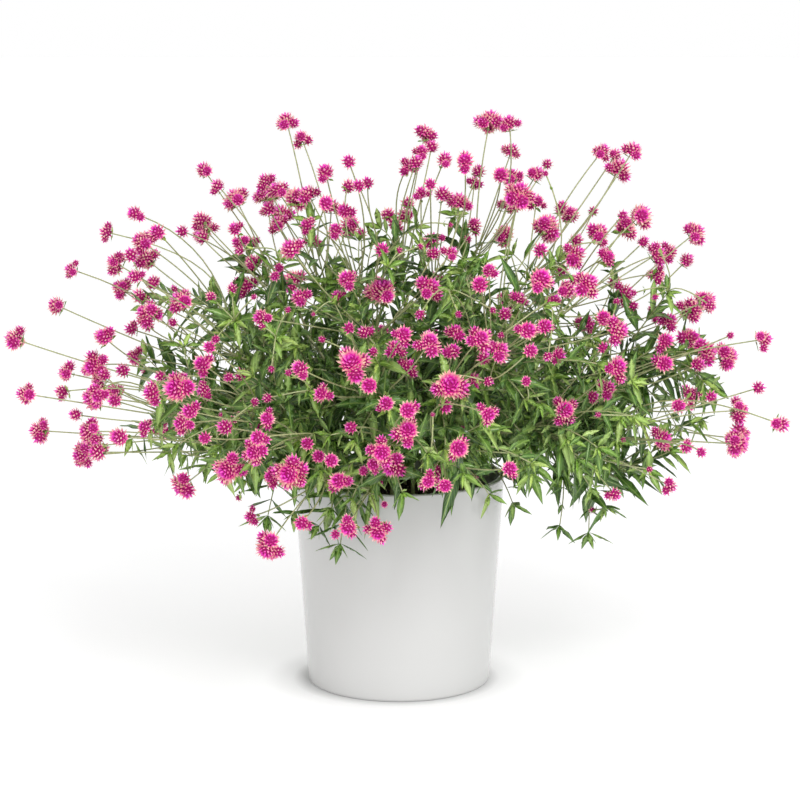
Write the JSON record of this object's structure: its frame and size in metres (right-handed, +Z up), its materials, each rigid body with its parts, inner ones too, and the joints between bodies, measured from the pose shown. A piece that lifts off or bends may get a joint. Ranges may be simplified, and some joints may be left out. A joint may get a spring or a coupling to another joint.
{
  "type": "potted globe amaranth",
  "caption": "Bushy potted flowering plant: wiry stalks with magenta globe-shaped blooms over lance-shaped leaves, in a plain tapered white pot.",
  "frame": {"origin": "centre of the pot's foot, on the floor", "axes": "+Z up the pot's axis; +X to the viewer's right along the plant's longest spread; the viewer's side is -Y"},
  "size_m": [0.8879, 0.7674, 0.6715],
  "materials": {
    "pot": "smooth gloss glaze",
    "potting_mix": null,
    "foliage": null,
    "bloom": null
  },
  "bodies": {
    "root": {"pot": "pot", "potting_mix": "potting_mix", "leafy_stem_far_left": "foliage", "leafy_stem_low_left": "foliage", "leafy_stem_upper_left": "foliage", "leafy_stem_left_shoulder": "foliage", "leafy_stem_top_left": "foliage", "leafy_stem_top": "foliage", "leafy_stem_top_right": "foliage", "leafy_stem_right_shoulder": "foliage", "leafy_stem_right": "foliage", "leafy_stem_low_right": "foliage", "leafy_stem_front_left": "foliage", "leafy_stem_front": "foliage", "leafy_stem_front_right": "foliage", "leafy_stem_middle": "foliage", "leafy_stem_middle_right": "foliage", "leafy_stem_back_1": "foliage", "leafy_stem_back_2": "foliage", "leafy_stem_back_3": "foliage", "leafy_stem_back_4": "foliage", "flower_spray_far_left_1": "bloom", "flower_spray_far_left_2": "bloom", "flower_spray_low_left_1": "bloom", "flower_spray_low_left_2": "bloom", "flower_spray_upper_left_1": "bloom", "flower_spray_upper_left_2": "bloom", "flower_spray_left_shoulder_1": "bloom", "flower_spray_left_shoulder_2": "bloom", "flower_spray_top_left_1": "bloom", "flower_spray_top_left_2": "bloom", "flower_spray_top_1": "bloom", "flower_spray_top_2": "bloom", "flower_spray_top_right_1": "bloom", "flower_spray_top_right_2": "bloom", "flower_spray_right_shoulder_1": "bloom", "flower_spray_right_shoulder_2": "bloom", "flower_spray_right_1": "bloom", "flower_spray_right_2": "bloom", "flower_spray_low_right_1": "bloom", "flower_spray_low_right_2": "bloom", "flower_spray_front_left_1": "bloom", "flower_spray_front_left_2": "bloom", "flower_spray_front_1": "bloom", "flower_spray_front_2": "bloom", "flower_spray_front_right_1": "bloom", "flower_spray_front_right_2": "bloom", "flower_spray_middle_1": "bloom", "flower_spray_middle_2": "bloom", "flower_spray_middle_right_1": "bloom", "flower_spray_back_1_1": "bloom", "flower_spray_back_1_2": "bloom", "flower_spray_back_2_1": "bloom", "flower_spray_back_2_2": "bloom", "flower_spray_back_3_1": "bloom", "flower_spray_back_3_2": "bloom", "flower_spray_back_4_1": "bloom", "flower_spray_back_4_2": "bloom"}
  },
  "joints": []
}
